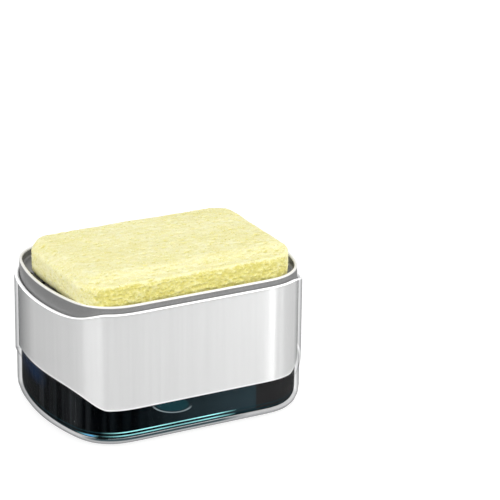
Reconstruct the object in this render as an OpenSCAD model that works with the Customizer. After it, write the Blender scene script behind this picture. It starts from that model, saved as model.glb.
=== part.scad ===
/* [Body] */
// Length of the body, left to right
body_w = 140; // [130:1:160]
// Depth of the body, front to back
body_d = 105; // [98:1:120]
// Height of the shell's top edge at the front and back
body_h = 72.4; // [68:0.2:84]
// Radius of the four upright corners
corner_r = 27; // [24:0.5:32]
// Radius that the two short sides bow to
side_bow_r = 120; // [105:5:200]
// Drop of the shell's top edge at the short sides
end_dip = 5.2; // [1:0.2:6]
// Rise of the band's lower edge at the short sides
end_rise = 9.5; // [1:0.5:12]

/* [Outer shell] */
// Wall of the shell behind and above the band
shell_wall = 1.8; // [1.4:0.1:2.4]
// Wall of the shell below the band
shell_base_wall = 2.2; // [1.8:0.1:2.6]
// How far the shell steps in below the band
shell_step = 0.8; // [0.4:0.1:1.2]
// Depth of the thick clear lip under the band's lower edge
shell_lip = 1.5; // [1:0.1:2.5]
// Thickness of the shell's floor
shell_floor_t = 2.6; // [2.2:0.1:3.4]
// Radius of the rounded bottom edge
base_fillet = 7; // [5.5:0.5:8]

/* [Silver band] */
// Thickness of the band's sheet
band_t = 0.4; // [0.3:0.1:0.6]
// Height of the band's lower edge at the front and back
band_low = 20.5; // [17:0.5:26]
// Clear shell that shows above the band
band_margin = 0.8; // [0.4:0.1:1.6]

/* [Non-slip feet] */
// Radius of a rubber pad
pad_r = 6; // [4:0.5:8]
// How far a pad stands out under the shell
pad_drop = 0.8; // [0.5:0.1:1.2]
// Depth that a pad is let into the shell's floor
pad_recess = 1; // [0.6:0.1:1.4]

/* [Soap reservoir] */
// Wall of the reservoir
cup_wall = 1.6; // [1.2:0.1:2]
// Floor of the reservoir
cup_floor_t = 1.6; // [1.2:0.1:2.4]
// Height of the lip round the reservoir's mouth
cup_lip_h = 2.5; // [1.5:0.1:4]

/* [Pump deck] */
// Thickness of the deck's plate
deck_t = 1.6; // [1.2:0.1:2]
// Thickness of the flat seal under the deck
seal_t = 0.8; // [0.5:0.1:1.2]
// Depth of the lip that plugs the reservoir's mouth
plug_h = 5.8; // [4:0.2:8]
// Wall of the plug lip
plug_t = 1.4; // [1:0.1:2]
// Radius of the well round the pump
well_r = 21; // [20:0.5:24]

/* [Pump] */
// How far the tray is pressed down
press_travel = 8; // [5:0.5:8.5]
// Bore radius of the pump cylinder
bore_r = 9.5; // [8.5:0.1:10]
// Wall of the pump cylinder
bore_wall = 1.5; // [1:0.1:1.6]
// Length of pickup tube that shows between the foot and the cylinder
tube_show = 1.9; // [1:0.1:4]
// Outer radius of the hollow stem
stem_r = 5; // [4.5:0.1:5.4]
// Radius of the stem's channel
stem_bore_r = 2.2; // [1.8:0.1:2.4]
// Height of the piston
piston_h = 6.5; // [5:0.1:8]
// Mean radius of the return spring
spring_r = 7.2; // [6.9:0.1:7.6]
// Wire diameter of the return spring
wire_d = 1.2; // [0.8:0.1:1.4]
// Live turns of the return spring
spring_turns = 7; // [5:1:8]
// Radius of the inlet ball
inlet_ball_r = 2.5; // [2.2:0.1:2.6]
// Radius of the outlet ball
outlet_ball_r = 2.2; // [2:0.1:2.4]
// Lift of the two valve balls
ball_lift = 1.2; // [0.8:0.1:1.3]
// Radius of the pickup foot on the reservoir's floor
foot_r = 10.3; // [9:0.1:12]

/* [Soap tray] */
// Height of the tray's rim above the shell's top edge
rim_up = 3.3; // [2.5:0.1:5]
// Depth of the tray under its rim
tray_depth = 4.5; // [3.8:0.1:5.5]
// Thickness of the tray's floor
tray_floor_t = 2; // [1.6:0.1:2.4]
// Wall of the tray's skirt
skirt_t = 1.5; // [1.2:0.1:2]
// Height of the tray's skirt
skirt_h = 12.7; // [11.5:0.1:14]
// Height of the ribs that carry the sponge
rib_h = 2; // [1.5:0.1:2.5]
// Radius of a drain hole in the tray
drain_r = 1.8; // [1.2:0.1:1.9]
// Radius of a guide pin under the tray
pin_r = 3; // [2.4:0.1:3.4]

/* [Sponge] */
// Length of the sponge
sponge_w = 115; // [105:1:116]
// Width of the sponge
sponge_d = 76; // [70:1:77]
// Thickness of the sponge
sponge_h = 14; // [11:0.5:22]
// Radius of the sponge's upright corners
sponge_corner_r = 14; // [13:0.5:18]
// Radius of the sponge's long edges
sponge_edge_r = 2.5; // [1.5:0.5:3.5]

/* [Hidden] */
$fn = 64;

// Overrun of a cut past the face that it opens
cut = 1;

// Running clearance of a sliding round fit
run_gap = 0.06;
// Gap between the band and the shell round it
band_gap = 0.1;
// Side gap between the reservoir and the shell's lower wall
cup_gap = 0.3;
// Gap between a part that slides inside the band and the band
collar_gap = 0.4;
// Gap between the plug lip and the reservoir's wall
plug_gap = 0.4;
// Height left between facing parts when the tray is fully down
press_gap = 0.4;
// Gap left under a part that only rests loosely
rest_gap = 0.3;
// Gap between parts that screw or push together
join_gap = 0.05;

// Plan of the body: straight long sides, bowed short sides
corner_y = body_d / 2 - corner_r;
bow_angle = asin(corner_y / (side_bow_r - corner_r));
bow_x = body_w / 2 - side_bow_r;
corner_x = bow_x + (side_bow_r - corner_r) * cos(bow_angle);

// The sculpted edges leave the level at this share of the half length
wave_start_share = 0.74;

// Facets of one corner and of one bowed side in the plan
corner_steps = 10;
bow_steps = 8;

// Bevel of the shell's top edge
shell_bevel = 0.35;

// Heights from the counter up
shell_floor_z = pad_drop + shell_floor_t;
standoff_h = 0.6;
cup_low_z = shell_floor_z + standoff_h;
cup_floor_z = cup_low_z + cup_floor_t;
band_top = body_h - band_margin;

// Heights from the tray's rim down
rim_z = body_h + rim_up;
tray_floor_z = rim_z - tray_depth;
tray_under_z = tray_floor_z - tray_floor_t;
rib_top_z = tray_floor_z + rib_h;
skirt_low_z = rim_z - skirt_h;
deck_top_z = skirt_low_z - press_travel - press_gap;
deck_low_z = deck_top_z - deck_t;
deck_mid_z = deck_top_z - deck_t / 2;
cup_top_z = deck_low_z - seal_t;
plug_low_z = deck_low_z - plug_h;

// Insets of the nested walls, measured in from the body's outline
band_out = shell_wall + band_gap;
band_in = band_out + band_t;
shell_base_in = shell_step + shell_base_wall;
cup_out = shell_base_in + cup_gap;
cup_in = cup_out + cup_wall;
cup_lip_out = band_in + rest_gap;
deck_out = band_in + collar_gap;
plug_out = cup_in + plug_gap;
skirt_out = band_in + collar_gap;
skirt_in = skirt_out + skirt_t;

// Fillets of the nested floors follow the shell's bottom edge
fillet_steps = 6;
shell_inner_fillet = base_fillet - shell_base_wall;
cup_outer_fillet = shell_inner_fillet - cup_gap;
cup_inner_fillet = cup_outer_fillet - cup_wall;

// Places of the rubber pads and the standoffs, as shares of the half sizes
pad_x_share = 0.65;
pad_y_share = 0.58;
standoff_r = 4;
pad_gap = 0.1;
pad_groove_w = 0.8;
pad_groove_d = 0.3;
pad_groove_shares = [0.4, 0.7];

// Ring on the reservoir's floor that centres the pickup foot
foot_ring_t = 1.2;
foot_ring_h = 2.2;

// Pump stack, clamped to the deck's boss by the collar nut
nut_top_z = tray_under_z - press_travel - press_gap;
nut_top_t = 1.4;
nut_h = 10.8;
nut_wall = 2.4;
nut_hole_gap = 2.2;
nut_hole_r = stem_r + nut_hole_gap;
bush_flange_t = 1;
flange_t = 1.4;
gasket_t = 0.8;
flange_w = 3.4;
flange_r = bore_r + bore_wall + flange_w;
boss_margin = 0.4;
boss_r = flange_r + boss_margin;
nut_gap = 0.1;
nut_bore_r = boss_r + nut_gap;
nut_r = nut_bore_r + nut_wall;
bush_flange_top_z = nut_top_z - nut_top_t;
flange_top_z = bush_flange_top_z - bush_flange_t;
gasket_top_z = flange_top_z - flange_t;
boss_top_z = gasket_top_z - gasket_t;
nut_low_z = nut_top_z - nut_h;
well_floor_z = nut_low_z - press_gap;
well_t = 1.6;
flute_count = 30;
flute_r = 1;

// Pickup foot
foot_low_z = cup_floor_z + rest_gap;
foot_t = 2.6;
foot_boss_h = 4;
foot_slot_w = 1.6;
foot_slots = 12;
foot_hollow_h = 1.4;
foot_rim_t = 1.2;
tube_low_z = foot_low_z + foot_t;

// Pump cylinder and its foot valve
socket_h = 4;
socket_wall = 1.6;
cylinder_low_z = tube_low_z + foot_boss_h + tube_show + socket_h;
tube_high_z = cylinder_low_z - join_gap;
cylinder_floor_t = 3.4;
cylinder_floor_z = cylinder_low_z + cylinder_floor_t;
seat_hole_r = 1.4;
ball_gap = 0.3;
ball_top_gap = 0.2;
tube_r = 3.5;
tube_wall = 1;
inlet_contact = inlet_ball_r * sin(45);
seat_top_r = inlet_ball_r + ball_gap;
inlet_seat_h = seat_top_r - seat_hole_r;
inlet_ball_z = cylinder_floor_z - inlet_seat_h + 2 * inlet_contact - seat_hole_r + join_gap;
cage_bore_r = inlet_ball_r + ball_gap;
cage_wall = 1.4;
cage_top_z = inlet_ball_z + inlet_ball_r + ball_lift + ball_top_gap;
cage_top_t = 1.2;
cage_flange_t = 1.2;
cage_flange_r = bore_r - rest_gap;
cage_slot_w = 1.6;
cage_hole_r = 1.2;

// Piston, stem and their stop under the bush
bush_body_h = 3;
bush_low_z = flange_top_z - bush_body_h;
bush_flange_w = 3.5;
bush_flange_r = bore_r + bush_flange_w;
piston_top_z = bush_low_z - join_gap;
piston_low_z = piston_top_z - piston_h;
piston_r = bore_r - run_gap;
piston_step = 1;
piston_hub_r = stem_r - piston_step;
piston_waist = 1.2;
piston_lip_h = 1.8;
retainer_t = 2.2;
retainer_r = spring_r - wire_d - rest_gap;
stem_low_z = piston_low_z - retainer_t;
shoulder_t = 1.6;
shoulder_gap = 0.6;
shoulder_r = nut_hole_r - shoulder_gap;

// Return spring, between the cage's flange and the piston
spring_low_z = cylinder_floor_z + cage_flange_t;
spring_high_z = piston_low_z;
spring_sides = 6;
spring_rings = 8;
spring_flat_turns = 1;
spring_close_share = 1.45;

// Outlet valve in the head of the stem
chamber_gap = 0.8;
chamber_r = outlet_ball_r + chamber_gap;
outlet_contact = outlet_ball_r * sin(45);
outlet_hole_r = 1.4;
outlet_seat_drop = 5.4;
outlet_seat_z = tray_under_z - outlet_seat_drop;
outlet_ball_z = outlet_seat_z + 2 * outlet_contact - outlet_hole_r + join_gap;

// Nozzle in the middle of the tray
nozzle_r = 9;
nozzle_plug_r = chamber_r - join_gap;
nozzle_ball_gap = 0.1;
nozzle_plug_low_z = outlet_ball_z + outlet_ball_r + ball_lift + nozzle_ball_gap;
nozzle_hole_r = 1.3;
nozzle_groove_w = 2;
nozzle_groove_d = 0.6;
nozzle_chamfer = 0.6;
nozzle_seal_r = 7;
nozzle_seal_d = 1.2;

// Guide pins under the tray and their blind sockets in the deck
pin_x_share = 0.6;
pin_y_share = 0.56;
pin_x = pin_x_share * body_w / 2;
pin_y = pin_y_share * body_d / 2;
socket_top_z = nut_top_z;
pin_engaged = 3.8;
pin_low_z = socket_top_z - pin_engaged;
guide_floor_z = pin_low_z - press_travel - press_gap;
guide_wall = 1.5;
guide_floor_t = 1.4;
guide_r = pin_r + run_gap + guide_wall;

// Ribs and holes of the deck
deck_rib_t = 1.6;
deck_rib_h = 3.4;
deck_rib_count = 8;
return_hole_r = 1.5;
return_hole_margin = 2.2;
return_hole_ring = well_r - return_hole_margin;

// Rim, ribs and drain holes of the tray
rim_chamfer = 0.4;
tray_rib_w = 2;
tray_rib_pitch = 11;
tray_rib_count = 4;
tray_rib_first = 18;
tray_rib_len_share = 0.56;
drain_margin = 4.2;
drain_end_x = body_w / 2 - skirt_in - drain_margin;
drain_end_pitch = 15;
drain_side_y = body_d / 2 - skirt_in - drain_margin;
drain_side_pitch = 26;

// Place of the sponge on the tray
sponge_x = -2;
sponge_y = -7;
sponge_low_z = rib_top_z + rest_gap;

// Share of the sculpted rise reached at distance x from the middle
function ease(u) = u <= 0 ? 0 : u >= 1 ? 1 : u * u * (3 - 2 * u);
function wave(x) =
    ease((abs(x) - wave_start_share * body_w / 2) / ((1 - wave_start_share) * body_w / 2));

// Points of the body's plan, drawn in by inset on every side, counter-clockwise
function arc_points(centre, r, from, to, steps) = [
    for (i = [0 : steps])
        let (a = from + (to - from) * i / steps)
            centre + r * [cos(a), sin(a)]
];
function without_last(points) = [for (i = [0 : len(points) - 2]) points[i]];
function half_outline(inset, turn) =
    let (
        bow = arc_points([bow_x, 0], side_bow_r - inset, -bow_angle, bow_angle, bow_steps),
        near = arc_points([corner_x, corner_y], corner_r - inset, bow_angle, 90, corner_steps),
        far = arc_points(
            [-corner_x, corner_y], corner_r - inset, 90, 180 - bow_angle, corner_steps
        )
    )
        [for (p = concat(without_last(bow), near, without_last(far))) turn * p];
function outline_points(inset) = concat(half_outline(inset, 1), half_outline(inset, -1));

module outline(inset) {
    polygon(outline_points(inset));
}

// Solid lofted round the body's plan through a profile of [inset, height, rise at the short sides]
module lofted(profile, closed = false) {
    n = len(outline_points(0));
    rings = len(profile);
    lift = [for (p = outline_points(0)) wave(p[0])];
    points = [
        for (step = profile)
            let (ring = outline_points(step[0]))
                for (j = [0 : n - 1])
                    [ring[j][0], ring[j][1], step[1] + step[2] * lift[j]]
    ];
    walls = [
        for (i = [0 : closed ? rings - 1 : rings - 2], j = [0 : n - 1])
            let (
                k = (i + 1) % rings,
                a = i * n + j,
                b = i * n + (j + 1) % n,
                c = k * n + (j + 1) % n,
                d = k * n + j,
                slanted = profile[i][0] != profile[k][0] && (profile[i][2] != 0 || profile[k][2] != 0)
            )
                for (face = slanted ? [[a, d, c], [a, c, b]] : [[a, d, c, b]])
                    face
    ];
    low_cap = [for (j = [0 : n - 1]) j];
    high_cap = [for (j = [n - 1 : -1 : 0]) (rings - 1) * n + j];
    polyhedron(points, closed ? walls : concat(walls, [low_cap, high_cap]));
}

// Profile of a rounded bottom edge, from the underside up to the wall
function fillet_arc(inset, fillet, low) = [
    for (i = [0 : fillet_steps])
        let (a = 90 * i / fillet_steps)
            [inset + fillet * (1 - sin(a)), low + fillet * (1 - cos(a)), 0]
];
function reversed(list) = [for (i = [len(list) - 1 : -1 : 0]) list[i]];

// Wall between two insets and two heights
module wall_ring(outer, inner, low, high) {
    translate([0, 0, low])
        linear_extrude(high - low)
            difference() {
                outline(outer);
                outline(inner);
            }
}

module at_quadrants(x, y) {
    for (sx = [-1, 1], sy = [-1, 1])
        translate([sx * x, sy * y, 0])
            children();
}

module outer_shell() {
    color([0.86, 0.9, 0.92, 0.35])
        difference() {
            lofted(concat(
                fillet_arc(shell_step, base_fillet, pad_drop),
                [
                    [shell_step, band_low - shell_lip, end_rise],
                    [0, band_low - shell_lip, end_rise],
                    [0, body_h - shell_bevel, -end_dip],
                    [shell_bevel, body_h, -end_dip],
                    [shell_wall - shell_bevel, body_h, -end_dip],
                    [shell_wall, body_h - shell_bevel, -end_dip],
                    [shell_wall, band_low, end_rise],
                    [shell_base_in, band_low, end_rise],
                ],
                reversed(fillet_arc(shell_base_in, shell_inner_fillet, shell_floor_z))
            ));
            at_quadrants(pad_x_share * body_w / 2, pad_y_share * body_d / 2)
                cylinder(r = pad_r + pad_gap, h = pad_drop + pad_recess);
        }
}

module silver_band() {
    color([0.82, 0.82, 0.83])
        lofted([
            [band_out, band_low, end_rise],
            [band_out, band_top, -end_dip],
            [band_in, band_top, -end_dip],
            [band_in, band_low, end_rise],
        ], closed = true);
}

module non_slip_feet() {
    color([0.2, 0.21, 0.22])
        at_quadrants(pad_x_share * body_w / 2, pad_y_share * body_d / 2)
            difference() {
                cylinder(r = pad_r, h = pad_drop + pad_recess);
                for (share = pad_groove_shares)
                    translate([0, 0, -cut])
                        difference() {
                            cylinder(r = share * pad_r + pad_groove_w, h = pad_groove_d + cut);
                            cylinder(r = share * pad_r, h = pad_groove_d + cut);
                        }
            }
}

module soap_reservoir() {
    color([0.06, 0.12, 0.14])
        union() {
            lofted(concat(
                fillet_arc(cup_out, cup_outer_fillet, cup_low_z),
                [
                    [cup_out, cup_top_z - cup_lip_h, 0],
                    [cup_lip_out, cup_top_z - cup_lip_h, 0],
                    [cup_lip_out, cup_top_z, 0],
                    [cup_in, cup_top_z, 0],
                ],
                reversed(fillet_arc(cup_in, cup_inner_fillet, cup_floor_z))
            ));
            at_quadrants(pad_x_share * body_w / 2, pad_y_share * body_d / 2)
                translate([0, 0, shell_floor_z])
                    cylinder(r = standoff_r, h = standoff_h + cup_floor_t / 2);
            translate([0, 0, cup_floor_z - cup_floor_t / 2])
                difference() {
                    cylinder(r = foot_r + rest_gap + foot_ring_t, h = foot_ring_h + cup_floor_t / 2);
                    translate([0, 0, -cut])
                        cylinder(r = foot_r + rest_gap, h = foot_ring_h + cup_floor_t + cut);
                }
        }
}

// Places of the radial ribs on the deck, clear of the guide sockets
module at_deck_ribs() {
    for (i = [0 : deck_rib_count - 1])
        rotate([0, 0, (i + 0.5) * 360 / deck_rib_count])
            translate([well_r + well_t / 2, -deck_rib_t / 2, deck_mid_z])
                cube([body_w, deck_rib_t, deck_top_z + deck_rib_h - deck_mid_z]);
}

module pump_deck() {
    color([0.42, 0.43, 0.45])
        difference() {
            union() {
                translate([0, 0, deck_low_z])
                    linear_extrude(deck_t)
                        outline(deck_out);
                wall_ring(plug_out, plug_out + plug_t, plug_low_z, deck_mid_z);
                intersection() {
                    at_deck_ribs();
                    translate([0, 0, deck_low_z])
                        linear_extrude(deck_t + 2 * deck_rib_h)
                            outline(plug_out + plug_t / 2);
                }
                translate([0, 0, well_floor_z - well_t])
                    cylinder(r = well_r + well_t, h = deck_mid_z - well_floor_z + well_t);
                translate([0, 0, well_floor_z - well_t / 2])
                    cylinder(r = boss_r, h = boss_top_z - well_floor_z + well_t / 2);
                at_quadrants(pin_x, pin_y)
                    translate([0, 0, guide_floor_z - guide_floor_t])
                        cylinder(r = guide_r, h = socket_top_z - guide_floor_z + guide_floor_t);
            }
            difference() {
                translate([0, 0, well_floor_z])
                    cylinder(r = well_r, h = body_h);
                cylinder(r = boss_r, h = boss_top_z);
            }
            cylinder(r = bore_r + bore_wall + join_gap, h = 2 * body_h);
            at_quadrants(pin_x, pin_y)
                translate([0, 0, guide_floor_z])
                    cylinder(r = pin_r + run_gap, h = body_h);
            for (i = [0 : 3])
                rotate([0, 0, i * 90])
                    translate([return_hole_ring, 0, 0])
                        cylinder(r = return_hole_r, h = body_h);
        }
}

module deck_seal() {
    color([0.85, 0.86, 0.86])
        wall_ring(cup_lip_out + rest_gap, cup_in, cup_top_z, deck_low_z);
}

module pump_cylinder() {
    body_r = bore_r + bore_wall;
    socket_r = tube_r + join_gap;
    color([0.88, 0.89, 0.9])
        rotate_extrude()
            polygon([
                [seat_hole_r, cylinder_floor_z - inlet_seat_h],
                [seat_top_r, cylinder_floor_z],
                [bore_r, cylinder_floor_z],
                [bore_r, flange_top_z],
                [flange_r, flange_top_z],
                [flange_r, gasket_top_z],
                [body_r, gasket_top_z],
                [body_r, cylinder_low_z],
                [socket_r + socket_wall, cylinder_low_z],
                [socket_r + socket_wall, cylinder_low_z - socket_h],
                [socket_r, cylinder_low_z - socket_h],
                [socket_r, cylinder_low_z],
                [seat_hole_r, cylinder_low_z],
            ]);
}

module cylinder_gasket() {
    color([0.15, 0.15, 0.16])
        translate([0, 0, boss_top_z])
            difference() {
                cylinder(r = flange_r, h = gasket_t);
                translate([0, 0, -cut])
                    cylinder(r = bore_r + bore_wall + join_gap, h = gasket_t + 2 * cut);
            }
}

module collar_nut() {
    color([0.3, 0.31, 0.33])
        difference() {
            translate([0, 0, nut_low_z])
                cylinder(r = nut_r, h = nut_h);
            translate([0, 0, nut_low_z - cut])
                cylinder(r = nut_bore_r, h = nut_h - nut_top_t + cut);
            cylinder(r = nut_hole_r, h = body_h);
            for (i = [0 : flute_count - 1])
                rotate([0, 0, i * 360 / flute_count])
                    translate([nut_r + flute_r / 2, 0, nut_low_z - cut])
                        cylinder(r = flute_r, h = nut_h - nut_top_t + cut, $fn = 24);
        }
}

module stem_bush() {
    color([0.8, 0.8, 0.78])
        rotate_extrude()
            polygon([
                [stem_r + run_gap, bush_low_z],
                [bore_r - join_gap, bush_low_z],
                [bore_r - join_gap, flange_top_z],
                [bush_flange_r, flange_top_z],
                [bush_flange_r, bush_flange_top_z],
                [stem_r + run_gap, bush_flange_top_z],
            ]);
}

module valve_cage() {
    color([0.85, 0.85, 0.83])
        difference() {
            rotate_extrude()
                polygon([
                    [cage_bore_r, cylinder_floor_z],
                    [cage_flange_r, cylinder_floor_z],
                    [cage_flange_r, cylinder_floor_z + cage_flange_t],
                    [cage_bore_r + cage_wall, cylinder_floor_z + cage_flange_t],
                    [cage_bore_r + cage_wall, cage_top_z + cage_top_t],
                    [cage_hole_r, cage_top_z + cage_top_t],
                    [cage_hole_r, cage_top_z],
                    [cage_bore_r, cage_top_z],
                ]);
            for (i = [0 : 1])
                rotate([0, 0, i * 90])
                    translate([0, 0, (spring_low_z + cage_top_z) / 2])
                        cube([2 * bore_r, cage_slot_w, cage_top_z - spring_low_z], center = true);
        }
}

module inlet_ball() {
    color([0.7, 0.71, 0.73])
        translate([0, 0, inlet_ball_z])
            sphere(inlet_ball_r);
}

module dip_tube() {
    color([0.9, 0.91, 0.92])
        translate([0, 0, tube_low_z])
            difference() {
                cylinder(r = tube_r, h = tube_high_z - tube_low_z);
                translate([0, 0, -cut])
                    cylinder(r = tube_r - tube_wall, h = tube_high_z - tube_low_z + 2 * cut);
            }
}

module pickup_foot() {
    color([0.3, 0.42, 0.46])
        difference() {
            translate([0, 0, foot_low_z])
                union() {
                    cylinder(r = foot_r, h = foot_t);
                    cylinder(r = tube_r + join_gap + socket_wall, h = foot_t + foot_boss_h);
                }
            translate([0, 0, tube_low_z])
                cylinder(r = tube_r + join_gap, h = foot_boss_h + cut);
            cylinder(r = tube_r - tube_wall, h = tube_low_z + cut);
            translate([0, 0, foot_low_z - cut])
                cylinder(r = foot_r - foot_rim_t, h = foot_hollow_h + cut);
            for (i = [0 : foot_slots - 1])
                rotate([0, 0, i * 360 / foot_slots])
                    translate([foot_r - 2 * foot_rim_t, -foot_slot_w / 2, foot_low_z - cut])
                        cube([foot_r, foot_slot_w, foot_hollow_h + cut]);
        }
}

// The spring's line: a close turn at each end and even live turns between
spring_all_turns = spring_turns + 2 * spring_flat_turns;
spring_close_pitch = spring_close_share * wire_d;
spring_live_h = spring_high_z - spring_low_z - wire_d - 2 * spring_flat_turns * spring_close_pitch;
function spring_z(turn) =
    turn <= spring_flat_turns ? turn * spring_close_pitch
    : turn >= spring_flat_turns + spring_turns
        ? spring_live_h + (turn - spring_turns) * spring_close_pitch
        : spring_flat_turns * spring_close_pitch
            + (turn - spring_flat_turns) * spring_live_h / spring_turns;
spring_line = [
    for (i = [0 : spring_all_turns * spring_rings])
        let (turn = i / spring_rings)
            [
                spring_r * cos(360 * turn), spring_r * sin(360 * turn),
                spring_low_z + wire_d / 2 + spring_z(turn)
            ]
];
spring_gap = min([
    for (i = [0 : len(spring_line) - spring_rings - 1])
        norm(spring_line[i + spring_rings] - spring_line[i])
]) - wire_d;
echo(least_gap_between_spring_turns = spring_gap);

module return_spring() {
    rings = len(spring_line);
    points = [
        for (i = [0 : rings - 1], side = [0 : spring_sides - 1])
            let (
                around = 360 * i / spring_rings,
                tilt = 360 * side / spring_sides,
                out = wire_d / 2 * cos(tilt),
                up = wire_d / 2 * sin(tilt)
            )
                spring_line[i] + [out * cos(around), out * sin(around), up]
    ];
    sides = [
        for (i = [0 : rings - 2], side = [0 : spring_sides - 1])
            let (
                a = i * spring_sides + side,
                b = i * spring_sides + (side + 1) % spring_sides
            )
                for (face = [[a, b, b + spring_sides], [a, b + spring_sides, a + spring_sides]])
                    face
    ];
    first_end = [for (side = [1 : spring_sides - 2]) [0, side + 1, side]];
    last = (rings - 1) * spring_sides;
    last_end = [for (side = [1 : spring_sides - 2]) [last, last + side, last + side + 1]];
    color([0.62, 0.63, 0.65])
        polyhedron(points, concat(sides, first_end, last_end));
}

module piston() {
    color([0.25, 0.26, 0.28])
        rotate_extrude()
            polygon([
                [piston_hub_r, piston_low_z],
                [piston_r - piston_waist, piston_low_z],
                [piston_r, piston_low_z + piston_lip_h / 2],
                [piston_r, piston_low_z + piston_lip_h],
                [piston_r - piston_waist, piston_low_z + piston_lip_h + piston_waist / 2],
                [piston_r - piston_waist, piston_top_z - piston_lip_h - piston_waist / 2],
                [piston_r, piston_top_z - piston_lip_h],
                [piston_r, piston_top_z],
                [piston_hub_r, piston_top_z],
            ]);
}

module piston_retainer() {
    color([0.75, 0.76, 0.77])
        translate([0, 0, stem_low_z])
            difference() {
                cylinder(r = retainer_r, h = retainer_t);
                translate([0, 0, -cut])
                    cylinder(r = piston_hub_r, h = retainer_t + 2 * cut);
            }
}

module pump_stem() {
    color([0.86, 0.87, 0.88])
        rotate_extrude()
            polygon([
                [stem_bore_r, stem_low_z],
                [piston_hub_r, stem_low_z],
                [piston_hub_r, piston_top_z],
                [stem_r, piston_top_z],
                [stem_r, tray_under_z - shoulder_t],
                [shoulder_r, tray_under_z - shoulder_t],
                [shoulder_r, tray_under_z],
                [stem_r, tray_under_z],
                [stem_r, tray_floor_z],
                [chamber_r, tray_floor_z],
                [chamber_r, outlet_seat_z + chamber_r - outlet_hole_r],
                [outlet_hole_r, outlet_seat_z],
                [outlet_hole_r, outlet_seat_z - stem_bore_r],
                [stem_bore_r, outlet_seat_z - 2 * stem_bore_r],
            ]);
}

module outlet_ball() {
    color([0.7, 0.71, 0.73])
        translate([0, 0, outlet_ball_z])
            sphere(outlet_ball_r);
}

module soap_nozzle() {
    seal_groove_r = nozzle_seal_d / 2 + join_gap;
    color([0.8, 0.81, 0.83])
        difference() {
            rotate_extrude()
                polygon([
                    [nozzle_hole_r, nozzle_plug_low_z],
                    [nozzle_plug_r, nozzle_plug_low_z],
                    [nozzle_plug_r, tray_floor_z],
                    [nozzle_r, tray_floor_z],
                    [nozzle_r, rib_top_z - nozzle_chamfer],
                    [nozzle_r - nozzle_chamfer, rib_top_z],
                    [nozzle_hole_r, rib_top_z],
                ]);
            rotate_extrude()
                translate([nozzle_seal_r - seal_groove_r, tray_floor_z - cut])
                    square([2 * seal_groove_r, nozzle_seal_d + join_gap + cut]);
            for (i = [0 : 1])
                rotate([0, 0, i * 90]) {
                    translate([-nozzle_r, -nozzle_groove_w / 2, rib_top_z - nozzle_groove_d])
                        cube([2 * nozzle_r, nozzle_groove_w, nozzle_groove_d + cut]);
                    translate([-nozzle_r, -nozzle_hole_r / 2, nozzle_plug_low_z - cut])
                        cube([2 * nozzle_r, nozzle_hole_r, cut + nozzle_groove_d]);
                }
        }
}

module nozzle_seal() {
    color([0.12, 0.12, 0.13])
        translate([0, 0, tray_floor_z + nozzle_seal_d / 2])
            rotate_extrude()
                translate([nozzle_seal_r, 0])
                    circle(r = nozzle_seal_d / 2, $fn = 32);
}

module soap_tray() {
    rib_len = tray_rib_len_share * body_d;
    color([0.47, 0.48, 0.49])
        difference() {
            union() {
                lofted([
                    [skirt_in, tray_under_z, 0],
                    [skirt_in, skirt_low_z, 0],
                    [skirt_out, skirt_low_z, 0],
                    [skirt_out, rim_z - rim_chamfer, 0],
                    [skirt_out + rim_chamfer, rim_z, 0],
                    [skirt_in - rim_chamfer, rim_z, 0],
                    [skirt_in, rim_z - rim_chamfer, 0],
                    [skirt_in, tray_floor_z, 0],
                ]);
                for (side = [-1, 1], i = [0 : tray_rib_count - 1])
                    translate([side * (tray_rib_first + i * tray_rib_pitch), 0, tray_floor_z])
                        translate([-tray_rib_w / 2, -rib_len / 2, -tray_floor_t / 2])
                            cube([tray_rib_w, rib_len, rib_h + tray_floor_t / 2]);
                at_quadrants(pin_x, pin_y)
                    translate([0, 0, pin_low_z])
                        cylinder(r = pin_r, h = tray_floor_z - pin_low_z - tray_floor_t / 2);
            }
            cylinder(r = stem_r + join_gap, h = rim_z);
            for (side = [-1, 1], i = [-1.5 : 1.5])
                translate([side * drain_end_x, i * drain_end_pitch, 0])
                    cylinder(r = drain_r, h = rim_z);
            for (side = [-1, 1], i = [-1 : 1])
                translate([i * drain_side_pitch, side * drain_side_y, 0])
                    cylinder(r = drain_r, h = rim_z);
        }
}

module sponge() {
    half_w = sponge_w / 2 - sponge_corner_r;
    half_d = sponge_d / 2 - sponge_corner_r;
    color([0.95, 0.92, 0.6])
        translate([sponge_x, sponge_y, sponge_low_z])
            hull()
                for (sx = [-1, 1], sy = [-1, 1], z = [sponge_edge_r, sponge_h - sponge_edge_r])
                    translate([sx * half_w, sy * half_d, z])
                        rotate_extrude($fn = 32)
                            translate([sponge_corner_r - sponge_edge_r, 0])
                                circle(sponge_edge_r, $fn = 16);
}

outer_shell();
silver_band();
non_slip_feet();
soap_reservoir();
pump_deck();
deck_seal();
pump_cylinder();
cylinder_gasket();
collar_nut();
stem_bush();
valve_cage();
inlet_ball();
dip_tube();
pickup_foot();
return_spring();
piston();
piston_retainer();
pump_stem();
outlet_ball();
soap_nozzle();
nozzle_seal();
soap_tray();
sponge();
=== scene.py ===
"""Looks of the soap pump caddy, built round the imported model. All lengths are in metres."""

import math
import random

import bpy
import numpy as np
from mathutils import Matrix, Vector, kdtree, noise

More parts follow.
